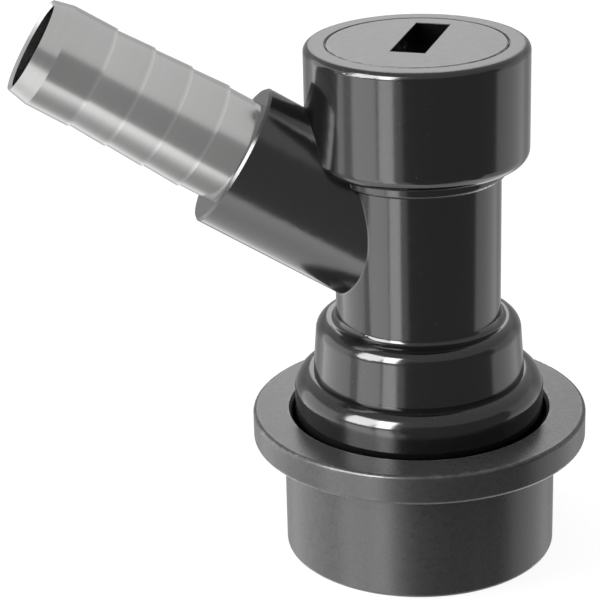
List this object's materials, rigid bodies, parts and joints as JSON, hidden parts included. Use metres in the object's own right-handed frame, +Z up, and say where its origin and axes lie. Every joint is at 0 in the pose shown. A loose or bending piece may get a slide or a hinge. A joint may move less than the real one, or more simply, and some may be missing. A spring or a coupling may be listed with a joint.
{
  "type": "beverage quick coupling",
  "caption": "Ball-lock quick coupling for a beverage keg post: black moulded body with slotted cap, sprung valve pin, angled stainless hose tail and sprung sliding collar over locking balls.",
  "frame": {"origin": "centre of the mouth of the keg-post socket, on the body's axis, level with the foot that the coupling stands on", "axes": "+Z up the body's axis from the socket to the cap; the side arm and its hose tail lean up and out over -X in the XZ plane; +Y completes the right-handed frame"},
  "size_m": [0.0564, 0.034, 0.0591],
  "materials": {
    "body_plastic": "glossy moulded black",
    "cap_plastic": "satin moulded black",
    "collar_plastic": "satin moulded black",
    "stainless": "turned stainless steel",
    "valve_plastic": "natural moulded plastic",
    "rubber": "smooth food-grade rubber",
    "spring_steel": "drawn stainless wire and strip",
    "ball_steel": "polished steel"
  },
  "bodies": {
    "housing": {"valve_body": "body_plastic", "top_cap": "cap_plastic", "cap_o_ring": "rubber", "hose_tail": "stainless", "tail_o_ring": "rubber", "collar_retaining_ring": "spring_steel", "collar_spring": "spring_steel", "poppet_spring": "spring_steel"},
    "collar": {"locking_collar": "collar_plastic"},
    "valve": {"poppet": "valve_plastic", "poppet_seal": "rubber"},
    "ball_1": {"locking_ball_1": "ball_steel"},
    "ball_2": {"locking_ball_2": "ball_steel"},
    "ball_3": {"locking_ball_3": "ball_steel"},
    "ball_4": {"locking_ball_4": "ball_steel"},
    "ball_5": {"locking_ball_5": "ball_steel"},
    "ball_6": {"locking_ball_6": "ball_steel"}
  },
  "joints": [
    {"name": "collar_slide", "type": "slide", "parent": "housing", "child": "collar", "axis": [0, 0, 1], "range_m": [0, 0.0034], "stiffness_N_per_m": 1500, "springref_m": -0.006, "deforming": ["collar_spring"]},
    {"name": "poppet_slide", "type": "slide", "parent": "housing", "child": "valve", "axis": [0, 0, 1], "range_m": [0, 0.0025], "stiffness_N_per_m": 800, "springref_m": -0.005, "deforming": ["poppet_spring"]},
    {"name": "ball_1_slide", "type": "slide", "parent": "housing", "child": "ball_1", "axis": [1, 0, 0], "range_m": [0, 0.00085]},
    {"name": "ball_2_slide", "type": "slide", "parent": "housing", "child": "ball_2", "axis": [0.5, 0.866, 0], "range_m": [0, 0.00085]},
    {"name": "ball_3_slide", "type": "slide", "parent": "housing", "child": "ball_3", "axis": [-0.5, 0.866, 0], "range_m": [0, 0.00085]},
    {"name": "ball_4_slide", "type": "slide", "parent": "housing", "child": "ball_4", "axis": [-1, 0, 0], "range_m": [0, 0.00085]},
    {"name": "ball_5_slide", "type": "slide", "parent": "housing", "child": "ball_5", "axis": [-0.5, -0.866, 0], "range_m": [0, 0.00085]},
    {"name": "ball_6_slide", "type": "slide", "parent": "housing", "child": "ball_6", "axis": [0.5, -0.866, 0], "range_m": [0, 0.00085]}
  ],
  "couplings": [
    {"joint": "ball_1_slide", "follows": "collar_slide", "ratio": 0.25},
    {"joint": "ball_2_slide", "follows": "collar_slide", "ratio": 0.25},
    {"joint": "ball_3_slide", "follows": "collar_slide", "ratio": 0.25},
    {"joint": "ball_4_slide", "follows": "collar_slide", "ratio": 0.25},
    {"joint": "ball_5_slide", "follows": "collar_slide", "ratio": 0.25},
    {"joint": "ball_6_slide", "follows": "collar_slide", "ratio": 0.25}
  ]
}
